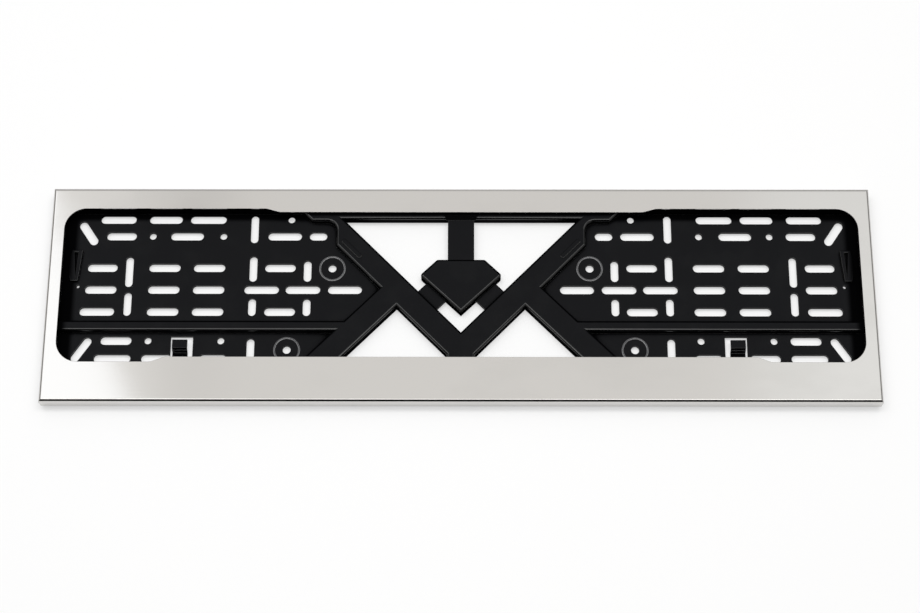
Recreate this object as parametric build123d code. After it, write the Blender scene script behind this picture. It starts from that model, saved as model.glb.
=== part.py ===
from build123d import *
from math import atan2, cos, degrees, radians, sin, tan
import os

# Number plate holder lying on its back: X runs along the plate, Y up the plate, Z out of its face.
# All lengths are in millimetres, and Z = 0 is the table.

# Steel frame
frame_width = 532.0
frame_height = 145.0
frame_depth = 13.0
sheet = 0.7
bend_radius = 2.2
skirt_depth = 10.0

# Window in the steel face, with its edge stepped in along the middle
side_band = 8.7
top_band = 14.4
bottom_band = 26.3
window_corner = 14.0
top_step = 2.4
top_step_at = 118.0
bottom_step = 3.3
bottom_step_at = 188.0
step_run = 8.5
step_blend = 9.0

# Tabs of the skirt turned in through slots in the base's wall
tab_width = 14.0
tab_reach = 5.0
tab_spacing = 170.0
tab_play = 0.8

# Fit between the frame, the base and the number plate
fit_gap = 0.3
plate_gap = 3.4

# Walls and levels of the moulded base
wall = 2.0
skin = 2.0
floor = 1.8
pocket_depth = 5.2
edge_round = 1.8

# Raised rim and rib of the base
rim_show = 0.4
rail_show = 3.2
shelf_drop = 6.5
shelf_inset = 4.7
shelf_length = 16.0
shelf_corner = 6.0
side_rim = 6.5
lower_rim = 13.0
rib_rise = 54.4
rib_width = 7.0

# Braces: a vee under the upper opening, and a leg from each arm of it down to the foot rail
vee_drop = 7.6
vee_half = 76.3
arm_width = 15.9
apex_x = 41.4
apex_rise = 10.1
leg_angle = 45.0
leg_width = 16.6
vee_foot = 9.0
foot_rail = 24.5

# Raised bar on each arm
bar_length = 17.0
bar_width = 2.8
bar_height = 0.8
bar_along = 90.0
bar_inset = 10.6

# Centre plate hung in the upper opening by a stem and two links
tip_gap = 13.3
shoulder_rise = 25.3
shoulder_half = 26.7
centre_rise = 36.1
centre_flat = 15.4
centre_corner = 2.0
stem_width = 17.1
stem_drop = 2.2
root_run = 2.6
root_flare = 2.6
link_along = 31.2
link_width = 17.4
link_reach = 16.0
link_drop = 4.2

# Fixing slots and holes
slot_width = 5.5
upright_width = 5.0
end_sides = 8
slot_land = 1.2
hole_bore = 4.5
pin_bore = 2.0

# Slot rows, lettered from the top: distance below the rim, above the rib or below the rib
row_a_drop = 3.9
row_b_drop = 15.5
row_c_rise = 37.4
row_d_rise = 22.4
row_e_rise = 7.4
row_f_drop = 5.3
row_g_drop = 17.3

# Lying slots by row: distance of the middle from the base's side, and length
side_slots = {
    "a": ((41.0, 23.2), (72.0, 21.6), (99.8, 23.6)),
    "b": ((43.6, 19.5), (86.4, 21.5)),
    "c": ((32.4, 19.5),),
    "d": ((32.0, 20.5),),
    "e": ((30.4, 22.5),),
    "f": ((44.0, 20.0),),
    "g": ((42.2, 23.6), (70.4, 19.5), (106.5, 17.5)),
}

# Two columns of rows c to e, which with the tongue sit nearer the centre on the right half
column_places = (72.8, 101.8)
column_length = 20.5
right_shift = 2.6

# Lying slots by row: distance of the middle from the centre line, and length
centre_slots = {
    "b": ((114.8, 22.0), (93.0, 11.5)),
    "c": ((117.2, 20.0),),
    "d": ((128.9, 22.5), (102.2, 22.5), (75.0, 22.0)),
    "e": ((116.8, 20.0),),
}

# Upright slots by row: distance from the centre line, and how far they run below and above the row
outer_column = 134.7
inner_column = 99.5
upright_slots = {
    "a": ((outer_column, 16.2, 3.0),),
    "c": ((outer_column, 9.4, 8.0), (inner_column, 9.4, 5.0)),
    "e": ((outer_column, 2.8, 9.0), (inner_column, 2.8, 8.8)),
    "f": ((outer_column, 16.0, 1.5),),
}
side_upright_place = 49.9
side_upright_top = 7.5
side_upright_foot = 2.8
side_upright_gap = 1.9

# Round holes by row: distance from the base's side
round_holes = {"b": (64.0, 110.1), "f": (64.5, 111.2)}
top_hole_x = 110.8
pin_hole_inset = 17.2
pin_hole_rise = 2.1

# Slanted slots in the corners
corner_length = 18.6
corner_inset = 22.0
corner_lean = 34.0
top_corner_drop = 13.5
low_corner_drop = 11.4

# Screw holes with a round ridge about them
ring_bore = 5.2
ring_radius = 8.0
ring_ridge = 1.3
ring_height = 0.23
top_ring_inset = 7.1
top_ring_drop = 0.3
low_ring_x = 111.4
low_ring_drop = 11.3

# Spring tongues that press the plate's lower edge forward
tongue_inset = 85.2
tongue_width = 9.6
tongue_side_gap = 1.2
tongue_inner_gap = 3.4
tongue_drop = 2.6
tongue_tip_gap = 2.4
tongue_length = 21.0
tongue_flat = 5.4
tongue_ramp = 2.4
tongue_lift = 1.8
tongue_sink = 1.6
tongue_sheet = 1.6

# Side latches
latch_inset = 12.5
latch_width = 6.8
latch_foot = 4.6
latch_length = 21.0
latch_bulge = 1.2
latch_leaf = 3.0
latch_wall = 1.3
latch_rise = 0.9
latch_height = 2.6
latch_hollow = 1.8

# Places that follow from the sizes above
skirt_back = frame_depth - skirt_depth
base_top = frame_depth - sheet - plate_gap
floor_top = base_top - pocket_depth
floor_back = floor_top - floor
base_width = frame_width - 2 * (sheet + fit_gap)
base_height = frame_height - 2 * (sheet + fit_gap)
base_side = base_width / 2
base_foot = -base_height / 2
window_top = frame_height / 2 - top_band
window_foot = bottom_band - frame_height / 2
rim_edge = window_top - rim_show
rail_edge = window_top - top_step - rail_show
shelf_edge = rim_edge - shelf_drop
shelf_from = vee_half + shelf_inset
shelf_to = shelf_from + shelf_length
rib_top = base_foot + rib_rise
rib_foot = rib_top - rib_width
pocket_side = base_side - side_rim
pocket_foot = base_foot + lower_rim
opening_foot = base_foot + foot_rail
apex_y = rib_top + apex_rise
vee_tip = rib_top - vee_drop
vee_angle = degrees(atan2(rail_edge - vee_tip, vee_half))
stem_top = base_top - stem_drop
link_top = base_top - link_drop
panel_start = outer_column + upright_width / 2 + slot_land
rows = {
    "a": rim_edge - row_a_drop,
    "b": rim_edge - row_b_drop,
    "c": rib_top + row_c_rise,
    "d": rib_top + row_d_rise,
    "e": rib_top + row_e_rise,
    "f": rib_foot - row_f_drop,
    "g": rib_foot - row_g_drop,
}
top_ring_x = vee_half + top_ring_inset
top_ring_y = rows["c"] - top_ring_drop
low_ring_y = rib_foot - low_ring_drop
latch_y = rows["c"] + latch_rise


def area(*points):
    return make_face(Polyline(*points, close=True))


def both(half):
    return half + mirror(half, about=Plane.YZ)


def solid(outline, low, high):
    return Pos(0, 0, low) * extrude(outline, high - low)


def slot(length, width):
    """Lying slot about the origin, with each round end drawn as a few flats."""
    radius = width / 2
    reach = length / 2 - radius
    turns = [radians(180 * step / end_sides - 90) for step in range(end_sides + 1)]
    end = [(reach + radius * cos(turn), radius * sin(turn)) for turn in turns]
    return area(*end, *[(-x, -y) for x, y in end])


def arm_x(y):
    """Lower edge of the right arm."""
    across = arm_width / sin(radians(vee_angle))
    return (y - vee_tip) / tan(radians(vee_angle)) + across


def leg_x(y):
    """Outer edge of the right leg."""
    across = leg_width / sin(radians(leg_angle))
    return apex_x + (apex_y - y) / tan(radians(leg_angle)) + across


def on_arm(along, inset):
    """Place on the right arm: along its upper edge from the tip of the vee, and in from that edge."""
    turn = radians(vee_angle)
    x = along * cos(turn) + inset * sin(turn)
    y = vee_tip + along * sin(turn) - inset * cos(turn)
    return Pos(x, y) * Rot(0, 0, vee_angle)


def window_outline():
    x = frame_width / 2 - side_band
    lobes = area((-x, window_foot), (x, window_foot), (x, window_top), (-x, window_top))
    outline = fillet(lobes.vertices(), window_corner)
    edges = ((window_top, -top_step, top_step_at), (window_foot, bottom_step, bottom_step_at))
    for edge, step, half in edges:
        far = half + step_run
        outline -= area((-far, edge), (far, edge), (half, edge + step), (-half, edge + step))
    steps = [v for v in outline.vertices() if abs(v.X) < x - 2 * window_corner]
    return fillet(steps, step_blend)


def tab_outlines(width, reach):
    """Rectangles of this width that reach in from the frame's long outer edges where the tabs are."""
    half = frame_height / 2
    places = [(x, side) for x in (-tab_spacing, 0, tab_spacing) for side in (-1, 1)]
    return Sketch() + [Pos(x, side * (half - reach / 2)) * Rectangle(width, reach) for x, side in places]


def plan(inset):
    """The frame's outer outline, drawn in by this much on all sides."""
    return Rectangle(frame_width - 2 * inset, frame_height - 2 * inset)


def steel_frame():
    outside = extrude(plan(0), frame_depth)
    outside = fillet(outside.faces().sort_by(Axis.Z)[-1].edges(), bend_radius)
    inside = extrude(plan(sheet), frame_depth - sheet)
    inside = fillet(inside.faces().sort_by(Axis.Z)[-1].edges(), bend_radius - sheet)
    frame = outside - inside - extrude(window_outline(), frame_depth)
    frame -= extrude(plan(0), skirt_back)
    tabs = tab_outlines(tab_width, sheet + tab_reach)
    return frame + solid(tabs, skirt_back, skirt_back + sheet)


def upper_opening():
    return area((-vee_half, rail_edge), (vee_half, rail_edge), (0, vee_tip))


def lower_openings():
    drop = apex_y - opening_foot
    near = apex_x - drop / tan(radians(vee_angle))
    far = apex_x + drop / tan(radians(leg_angle))
    half = area((apex_x, apex_y), (near, opening_foot), (far, opening_foot))
    post = Pos(0, apex_y) * Rectangle(2 * vee_foot, 2 * drop)
    return both(half - post)


def upper_pocket():
    slopes = 1 / tan(radians(vee_angle)) + 1 / tan(radians(leg_angle))
    tip = (leg_x(0) - arm_x(0)) / slopes
    bend = vee_tip + (shelf_from - arm_x(vee_tip)) * tan(radians(vee_angle))
    outline = area(
        (pocket_side, rim_edge),
        (shelf_to + shelf_drop, rim_edge),
        (shelf_to, shelf_edge),
        (shelf_from, shelf_edge),
        (shelf_from, bend),
        (arm_x(tip), tip),
        (leg_x(rib_top), rib_top),
        (pocket_side, rib_top),
    )
    corner = outline.vertices().sort_by_distance((shelf_from, shelf_edge))[0]
    return fillet(corner, shelf_corner)


def lower_pocket():
    return area(
        (pocket_side, rib_foot),
        (leg_x(rib_foot), rib_foot),
        (leg_x(pocket_foot), pocket_foot),
        (pocket_side, pocket_foot),
    )


def lying_slot(x, y, length):
    return Pos(x, y) * slot(length, slot_width)


def upright_slot(x, low, high):
    return Pos(x, (low + high) / 2) * Rot(0, 0, 90) * slot(high - low, upright_width)


def corner_slot(y, lean):
    return Pos(base_side - corner_inset, y) * Rot(0, 0, 90 + lean) * slot(corner_length, slot_width)


def round_hole(x, y, bore):
    return Pos(x, y) * Circle(bore / 2)


def side_row(cuts):
    """Places from distances to the base's side, as many as there is room for beside the centre panel."""
    placed = [(base_side - inset, length) for inset, length in cuts]
    return [(x, length) for x, length in placed if x - length / 2 > panel_start]


def slot_pattern(shift):
    """Slots and holes of the right half, with its two movable columns shifted toward the centre."""
    cuts = []
    for row, slots in side_slots.items():
        cuts += [lying_slot(x, rows[row], length) for x, length in side_row(slots)]
    columns = side_row([(place + shift, column_length) for place in column_places])
    for row in "cde":
        cuts += [lying_slot(x, rows[row], length) for x, length in columns]
    for row, slots in centre_slots.items():
        cuts += [lying_slot(x, rows[row], length) for x, length in slots]
    for row, slots in upright_slots.items():
        cuts += [upright_slot(x, rows[row] - below, rows[row] + above) for x, below, above in slots]
    x = base_side - side_upright_place
    cuts.append(upright_slot(x, rows["d"] + side_upright_gap, rows["c"] + side_upright_top))
    cuts.append(upright_slot(x, rows["e"] - side_upright_foot, rows["d"] - side_upright_gap))
    cuts.append(corner_slot(rim_edge - top_corner_drop, -corner_lean))
    cuts.append(corner_slot(rib_foot - low_corner_drop, corner_lean))
    for row, places in round_holes.items():
        holes = side_row([(place, hole_bore) for place in places])
        cuts += [round_hole(x, rows[row], bore) for x, bore in holes]
    cuts.append(round_hole(top_hole_x, rows["a"], hole_bore))
    cuts.append(round_hole(base_side - pin_hole_inset, rows["d"] + pin_hole_rise, pin_bore))
    cuts.append(round_hole(top_ring_x, top_ring_y, ring_bore))
    cuts.append(round_hole(low_ring_x, low_ring_y, ring_bore))
    return cuts


def ring_ridges():
    half = ring_ridge / 2
    ridge = Polyline(
        (ring_radius - half, -floor / 2),
        (ring_radius - half, 0),
        (ring_radius, ring_height),
        (ring_radius + half, 0),
        (ring_radius + half, -floor / 2),
        close=True,
    )
    ring = Pos(0, 0, floor_top) * revolve(make_face(Plane.XZ * ridge), Axis.Z)
    places = ((top_ring_x, top_ring_y), (low_ring_x, low_ring_y))
    return [Pos(side * x, y) * ring for x, y in places for side in (-1, 1)]


def arm_bar():
    bar = on_arm(bar_along, bar_inset) * slot(bar_length, bar_width)
    return solid(bar, base_top - skin / 2, base_top + bar_height)


def centre_plate():
    tip = vee_tip + tip_gap
    outline = area(
        (-centre_flat, tip + centre_rise),
        (centre_flat, tip + centre_rise),
        (shoulder_half, tip + shoulder_rise),
        (0, tip),
        (-shoulder_half, tip + shoulder_rise),
    )
    corners = outline.vertices().group_by(Axis.Y)[1:]
    cap = extrude(fillet([corner for row in corners for corner in row], centre_corner), base_top)
    cap = fillet(cap.faces().sort_by(Axis.Z)[-1].edges(), edge_round)
    cap -= extrude(offset(outline, -wall, kind=Kind.INTERSECTION), base_top - skin)
    seat = offset(outline, -wall / 2, kind=Kind.INTERSECTION)
    stem = area(
        (-stem_width / 2, tip + shoulder_rise),
        (stem_width / 2, tip + shoulder_rise),
        (stem_width / 2, rail_edge + wall / 2),
        (-stem_width / 2, rail_edge + wall / 2),
    )
    link = on_arm(link_along, wall / 2 - link_reach / 2) * Rectangle(link_width, link_reach)
    hung = solid(stem - seat, stem_top - skin, stem_top)
    hung += solid(both(link) - seat, link_top - skin, link_top)
    return cap + hung


def stem_root():
    """Wedge taken off the rail's edge, where the stem flares and runs up into the rail."""
    front = rail_edge - wall
    back = rail_edge + root_run
    profile = area((front, stem_top), (rail_edge, stem_top), (back, base_top), (front, base_top))
    near = stem_width / 2
    far = near + root_flare
    wedge = Pos(-far, 0, 0) * extrude(Plane.YZ * profile, 2 * far)
    return wedge & extrude(area((-near, front), (near, front), (far, back), (-far, back)), base_top)


def tongue(shift):
    """Spring tongue of the right half, shifted toward the centre, and the window that it is cut free by."""
    x = base_side - tongue_inset - shift
    tip = rib_foot - tongue_drop - tongue_tip_gap
    root = tip - tongue_length
    near = x - tongue_width / 2 - tongue_inner_gap
    far = x + tongue_width / 2 + tongue_side_gap
    top = tip + tongue_tip_gap
    window = area((near, root), (far, root), (far, top), (near, top))
    high = floor_top + tongue_lift
    low = floor_top - tongue_sink
    bend = tip - tongue_flat
    upper = [(tip, high), (bend, high), (bend - tongue_ramp, low)]
    upper += [(root + tongue_sink, low), (root, floor_top), (root - wall, floor_top)]
    lower = [(y, z - tongue_sheet) for y, z in reversed(upper)]
    profile = make_face(Plane.YZ * Polyline(*upper, *lower, close=True))
    strip = Pos(x - tongue_width / 2, 0, 0) * extrude(profile, tongue_width)
    return window, strip


def latch():
    """Side latch of the right half: a leaf bowed toward the frame, with a hollow behind it."""
    side = base_side - latch_inset
    low = latch_y - latch_length / 2
    high = latch_y + latch_length / 2
    bow = ThreePointArc((side, low), (side + latch_bulge, latch_y), (side, high))
    inner = Polyline((side, high), (side - latch_width, high), (side - latch_foot, low), (side, low))
    block = solid(make_face([bow, inner]), floor_top - floor / 2, floor_top + latch_height)
    hollow = area(
        (side - latch_leaf / 2, high - latch_wall),
        (side - latch_width + 2 * latch_wall, high - latch_wall),
        (side - latch_leaf, low + latch_wall),
    )
    crown = floor_top + latch_height
    return block - solid(hollow, crown - latch_hollow, crown)


def base_plate():
    outline = plan(sheet + fit_gap)
    openings = Sketch() + [upper_opening(), lower_openings()]
    recesses = both(upper_pocket()) + both(lower_pocket())
    block = extrude(outline - openings, base_top) - solid(recesses, floor_top, base_top)
    block = fillet(block.edges().group_by(Axis.Z)[-1], edge_round)

    inner = offset(outline, -wall) - offset(openings, wall, kind=Kind.INTERSECTION)
    raised = inner - offset(recesses, wall, kind=Kind.INTERSECTION)
    block -= extrude(inner, floor_back)
    block -= solid(raised, floor_back, base_top - skin)
    rail = Pos(0, rail_edge + wall / 2) * Rectangle(2 * vee_half, wall)
    block -= extrude(rail, floor_back)
    block -= stem_root()
    tab_slots = tab_outlines(tab_width + 2 * tab_play, sheet + fit_gap + wall)
    block -= solid(tab_slots, skirt_back - fit_gap, skirt_back + sheet + fit_gap)

    right_window, right_strip = tongue(right_shift)
    left_window, left_strip = tongue(0)
    cuts = slot_pattern(right_shift) + [right_window]
    cuts += [mirror(cut, about=Plane.YZ) for cut in slot_pattern(0) + [left_window]]
    block -= extrude(Sketch() + cuts, floor_top)
    block += [right_strip, mirror(left_strip, about=Plane.YZ)]
    block += [centre_plate(), both(latch()), both(arm_bar())]
    block += ring_ridges()
    return block


os.makedirs("parts", exist_ok=True)
export_step(steel_frame(), "parts/steel_frame.step")
export_step(base_plate(), "parts/base_plate.step")
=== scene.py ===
import bmesh
import bpy
from math import pi, radians
from mathutils import Matrix, Vector

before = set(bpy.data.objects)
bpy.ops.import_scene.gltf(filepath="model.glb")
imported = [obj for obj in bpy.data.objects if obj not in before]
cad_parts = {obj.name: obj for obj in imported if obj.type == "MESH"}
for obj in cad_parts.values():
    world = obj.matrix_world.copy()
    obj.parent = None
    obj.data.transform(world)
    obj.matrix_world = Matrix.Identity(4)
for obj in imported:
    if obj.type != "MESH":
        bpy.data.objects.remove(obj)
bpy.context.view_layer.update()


# Steel frame: one sheet of bright stainless steel, 0.7 mm thick, with the window punched out of its
# face and the outer edges folded back. It is polished after folding, so it mirrors the room softly,
# with faint rolling lines along its length and the smears that hands leave on it.
class Field:
    """A socket of a shader tree, on which Python's operators add Math nodes."""

    def __init__(self, tree, socket):
        self.tree = tree
        self.socket = socket

    def node(self, kind, settings, inputs, output=0):
        made = self.tree.nodes.new("ShaderNode" + kind)
        for name, value in settings.items():
            setattr(made, name, value)
        for name, value in inputs.items():
            if isinstance(value, Field):
                self.tree.links.new(value.socket, made.inputs[name])
            else:
                made.inputs[name].default_value = value
        return Field(self.tree, made.outputs[output])

    def math(self, operation, first, second):
        return self.node("Math", {"operation": operation}, {0: first, 1: second})

    def __add__(self, other):
        return self.math("ADD", self, other)

    def __sub__(self, other):
        return self.math("SUBTRACT", self, other)

    def __rsub__(self, other):
        return self.math("SUBTRACT", other, self)

    def __mul__(self, other):
        return self.math("MULTIPLY", self, other)

    def __truediv__(self, other):
        return self.math("DIVIDE", self, other)

    def __abs__(self):
        return self.math("ABSOLUTE", self, 0)

    __radd__ = __add__
    __rmul__ = __mul__

    def rise(self, low, high):
        """0 below low, 1 above high, and a smooth step between."""
        smooth = {"interpolation_type": "SMOOTHSTEP"}
        return self.node("MapRange", smooth, {0: self, 1: low, 2: high})

    def blend(self, nought, one):
        """The first colour where this is 0, and the second where it is 1."""
        return self.node("Mix", {"data_type": "RGBA"}, {0: self, 6: nought, 7: one}, output=2)

    def axis(self, letter):
        return self.node("SeparateXYZ", {}, {0: self}, output="XYZ".index(letter))

    def noise(self, scale, detail, stretch=(1, 1, 1)):
        place = self.node("Mapping", {"vector_type": "POINT"}, {"Vector": self, "Scale": stretch})
        return self.node("TexNoise", {}, {"Vector": place, "Scale": scale, "Detail": detail})


def new_material(name):
    """A material, its Principled surface, and a field that gives places on the piece in metres."""
    material = bpy.data.materials.new(name)
    material.use_nodes = True
    tree = material.node_tree
    place = Field(tree, tree.nodes.new("ShaderNodeTexCoord").outputs["Object"])
    return material, tree.nodes["Principled BSDF"], place


def feed(shader, **fields):
    """Link fields to the shader's sockets, named in lower case with underscores."""
    for name, field in fields.items():
        socket = shader.inputs[name.replace("_", " ").title()]
        field.tree.links.new(field.socket, socket)


def soft_normal(place, radius):
    """The surface's direction, turned smoothly over edges that are sharper than the radius."""
    return place.node("Bevel", {"samples": 8}, {"Radius": radius})


def roughened(direction, height, strength):
    """The direction, tilted by a height field that stands up to 0.1 mm off the surface."""
    relief = {"Strength": strength, "Distance": 0.0001, "Height": height, "Normal": direction}
    return height.node("Bump", {}, relief)


def flats_and_edges(direction):
    """Two masks by the surface's direction: where it lies flat, and where it turns down at an edge."""
    lies_flat = (0.93, 0.99)
    leaves_wall = (0.03, 0.12)
    upward = direction.axis("Z")
    upward_squared = upward * upward
    flats = upward_squared.rise(*lies_flat)
    return flats, upward_squared.rise(*leaves_wall) * (1 - flats)


steel_colour = (0.63, 0.617, 0.60, 1)
steel_smear = (0.605, 0.593, 0.576, 1)
steel_edge = 0.0003
rolling_fineness = 2600
rolling_stretch = (0.01, 1, 0.3)
rolling_relief = 0.05
smear_fineness = 26
smear_stretch = (0.5, 1, 1)
smear_range = (0.48, 0.72)
polish = 0.07
smear_haze = 0.05
rolling_haze = 0.03
edge_haze = 0.02

steel, shader, place = new_material("polished_steel")
shader.inputs["Metallic"].default_value = 1
rolling = place.noise(rolling_fineness, 2, stretch=rolling_stretch)
smears = place.noise(smear_fineness, 4, stretch=smear_stretch).rise(*smear_range)
direction = soft_normal(place, steel_edge)
_, edges = flats_and_edges(direction)
feed(
    shader,
    base_color=smears.blend(steel_colour, steel_smear),
    roughness=polish + smear_haze * smears + rolling_haze * rolling + edge_haze * edges,
    normal=roughened(direction, rolling, rolling_relief),
)
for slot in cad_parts["steel_frame"].material_slots:
    slot.material = steel


# Base plate: one injection moulding in black polypropylene from a spark-eroded mould, so its walls are
# dead matt. Its open flats have a thin satin skin greyed by dust. Near the steel lip, in corners and on
# the sunk tongue ends its colour is painted near-black as painted shade, and the skin is left off there.
# Plates slid in have rubbed its lower edges to a shine, and its ring ridges are painted pale as a
# painted highlight.
# The first colour is the plain black of the rubbed edges and also the near-black painted shade under the
# lip, in corners and on the sunk tongue ends.
plastic_clean_and_painted_shade = (0.0012, 0.0012, 0.0014, 1)
plastic_filmed = (0.0075, 0.0077, 0.0087, 1)
plastic_dusty = (0.0092, 0.0094, 0.0103, 1)
# The next colour is a painted highlight: pale paint on the ring ridges.
ridge_painted_highlight = (0.12, 0.12, 0.124, 1)
plastic_edge = 0.0004
grain_fineness = 2400
grain_relief = 0.1
dust_fineness = 60
dust_range = (0.45, 0.75)
matt = 0.5
grain_haze = 0.08
dust_haze = 0.06
satin_skin = 0.04
skin_roughness = 0.2
skin_ior = 1.8
# The next three numbers place the painted shadow of the steel lip, slanting 0.7 across per unit of
# height.
lip_shadow_slope = 0.7
under_side_lips = (0.245, 0.2495)
under_top_lip = (0.049, 0.0525)
# Below this height, on the sunk tongue ends, the colour is painted near-black as painted shade.
sunk_below = (0.003, 0.0036)
corner_reach = 0.015
out_of_corners = (0.48, 0.66)
faces_up_the_plate = (-0.1, 0.1)
ridge_foot = 0.0037
ridge_starts = (0, 0.00006)
ridge_ends = (0.00024, 0.0003)

plastic, shader, place = new_material("black_plastic")
shader.inputs["Specular IOR Level"].default_value = 0
shader.inputs["Coat Roughness"].default_value = skin_roughness
shader.inputs["Coat IOR"].default_value = skin_ior
grain = place.noise(grain_fineness, 3)
dust = place.noise(dust_fineness, 5).rise(*dust_range)
direction = soft_normal(place, plastic_edge)
flats, edges = flats_and_edges(direction)
level = place.axis("Z")
# Painted shadow of the steel lip: under it the colour is painted near-black and the edges do not shine.
aside = abs(place.axis("X")) - lip_shadow_slope * level
above = place.axis("Y") - lip_shadow_slope * level
outside_painted_lip_shadow = (1 - aside.rise(*under_side_lips)) * (1 - above.rise(*under_top_lip))
# Painted shade in corners: the occlusion node turns the colour near-black where other surfaces are
# close.
nearby = place.node("AmbientOcclusion", {"samples": 8}, {"Distance": corner_reach}, output="AO")
# The dust grey and the satin skin are laid only outside the painted lip shadow, the painted corner
# shade, the painted shade on the sunk tongue ends and the rubbed edges.
dust_film_outside_painted_shade = outside_painted_lip_shadow * nearby.rise(*out_of_corners) * level.rise(*sunk_below) * (1 - edges)
rubbed = edges * outside_painted_lip_shadow * (1 - direction.axis("Y").rise(*faces_up_the_plate))
over_foot = level - ridge_foot
ridges = edges * over_foot.rise(*ridge_starts) * (1 - over_foot.rise(*ridge_ends))
dust_and_painted_shade = dust_film_outside_painted_shade.blend(plastic_clean_and_painted_shade, dust.blend(plastic_filmed, plastic_dusty))
feed(
    shader,
    base_color=ridges.blend(dust_and_painted_shade, ridge_painted_highlight),
    roughness=matt + grain_haze * grain + dust_haze * dust,
    coat_weight=satin_skin * dust_film_outside_painted_shade * flats + rubbed,
    normal=roughened(direction, grain, grain_relief),
)
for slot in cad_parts["base_plate"].material_slots:
    slot.material = plastic


# Table: a plain white sheet under the holder. It shows white to the camera and in the steel, and it
# keeps part of the shade that the holder throws on it.
table_white = (0.9, 0.9, 0.9, 1)
table_roughness = 0.8
table_size = 6.0
plain_white = (1, 1, 1, 1)
own_glow = 0.52

mesh = bmesh.new()
bmesh.ops.create_grid(mesh, x_segments=1, y_segments=1, size=table_size / 2)
table = bpy.data.objects.new("table", bpy.data.meshes.new("table"))
mesh.to_mesh(table.data)
mesh.free()
bpy.context.collection.objects.link(table)

table_top, shader, place = new_material("table_white")
shader.inputs["Base Color"].default_value = table_white
shader.inputs["Roughness"].default_value = table_roughness
seen = place.node("LightPath", {}, {}, output="Is Camera Ray")
mirrored = place.node("LightPath", {}, {}, output="Is Glossy Ray")
glow = place.node("Emission", {}, {"Color": plain_white, "Strength": 1.0})
lit = Field(table_top.node_tree, shader.outputs["BSDF"])
shown = place.node("MixShader", {}, {0: own_glow * (seen + mirrored), 1: lit, 2: glow})
surface = table_top.node_tree.nodes["Material Output"].inputs["Surface"]
table_top.node_tree.links.new(shown.socket, surface)
table.data.materials.append(table_top)


# Room: a pale panel over the table in a small studio with grey walls and a dark gap in front, where the
# viewer stands. The panel grows lighter to the front and steps up to the right, a soft shade runs down
# its left part, and the camera sees plain white past the table.
side_walls = (0.3, 0.297, 0.292, 1)
wall_behind = (0.64, 0.633, 0.625, 1)
gap_dark = (0.012, 0.012, 0.012, 1)
panel_back = (0.932, 0.917, 0.897, 1)
panel_front = (0.992, 0.979, 0.958, 1)
shade_back = (0.69, 0.678, 0.664, 1)
shade_front = (0.925, 0.912, 0.893, 1)
left_part = (1.05, 1.04, 1.02, 1)
right_back = (1.005, 1.007, 0.996, 1)
right_front = (1.165, 1.173, 1.163, 1)
horizon = 0.01
panel_front_edge = (-0.2, 0)
panel_left_edge = (-1.2, -0.9)
panel_right_edge = (0.7, 1.1)
front_to_back = (0.27, 0.44)
panel_to_wall = (0.52, 0.66)
left_part_to_shade = (-0.172, -0.147)
shade_to_middle = (-0.147, -0.118)
middle_to_right = (0.13, 0.17)
gap_slant = 0.6
gap_edge = (-0.06, 0.02)

room = bpy.data.worlds.new("room")
room.use_nodes = True
bpy.context.scene.world = room
tree = room.node_tree
sky = Field(tree, tree.nodes.new("ShaderNodeTexCoord").outputs["Generated"])
height = sky.axis("Z").rise(0, 1) + horizon
across = sky.axis("X") / height
back = sky.axis("Y") / height
rear = back.rise(*front_to_back)
middle = rear.blend(panel_front, panel_back)
right_part = rear.blend(right_front, right_back)
shade = rear.blend(shade_front, shade_back)
to_the_right = across.rise(*middle_to_right).blend(middle, right_part)
to_the_left = across.rise(*left_part_to_shade).blend(left_part, shade)
panel = across.rise(*shade_to_middle).blend(to_the_left, to_the_right)
panel_and_wall = back.rise(*panel_to_wall).blend(panel, wall_behind)
beside_gap = (abs(sky.axis("X")) + gap_slant * sky.axis("Y")).rise(*gap_edge)
walls = beside_gap.blend(gap_dark, side_walls)
within_sides = across.rise(*panel_left_edge) * (1 - across.rise(*panel_right_edge))
overhead = back.rise(*panel_front_edge) * within_sides
lit_room = overhead.blend(walls, panel_and_wall)
seen = sky.node("LightPath", {}, {}, output="Is Camera Ray")
background = tree.nodes["Background"].inputs["Color"]
tree.links.new(seen.blend(lit_room, plain_white).socket, background)


# Lamps: three soft boxes. One hangs just in front of the panel and lights the edges that face the
# viewer, one stands to the left and shows its edge in the steel, and one behind fills the table.
def soft_box(name, centre, size, radiance, turn=0, tint=(1, 1, 1), mirrored=True):
    """A lamp that faces straight down, turned about the upright axis, and may be kept out of mirrors."""
    lamp = bpy.data.lights.new(name, "AREA")
    lamp.shape = "RECTANGLE"
    lamp.size, lamp.size_y = size
    lamp.color = tint
    lamp.energy = radiance * pi * size[0] * size[1]
    box = bpy.data.objects.new(name, lamp)
    box.matrix_world = Matrix.Translation(Vector(centre)) @ Matrix.Rotation(radians(turn), 4, "Z")
    box.visible_glossy = mirrored
    bpy.context.collection.objects.link(box)


cool_white = (0.86, 0.92, 1.0)

soft_box("front_box", centre=(0.0, -0.4, 1.5), size=(1.6, 0.5), radiance=1.7)
soft_box(
    "left_box", centre=(-0.889, 0.421, 1.5), size=(0.7, 1.1), radiance=0.62, turn=21.9, tint=cool_white
)
soft_box("fill_box", centre=(0.0, 0.26, 1.6), size=(1.4, 0.35), radiance=8.8, mirrored=False)


# Camera: above the holder and in front of it, looking down at the tilt that the photograph has. Its long
# lens keeps the near and far edges of the holder close to the same width.
camera_place = (0.0033, -0.40152, 1.15529)
camera_turn = (18.957, 0.154, 0.115)
camera_lens = 73.967
camera_sensor = 36

lens = bpy.data.cameras.new("camera")
lens.lens = camera_lens
lens.sensor_width = camera_sensor
camera = bpy.data.objects.new("camera", lens)
camera.location = camera_place
camera.rotation_euler = [radians(turn) for turn in camera_turn]
bpy.context.collection.objects.link(camera)
bpy.context.scene.camera = camera
bpy.context.scene.view_settings.view_transform = "Standard"
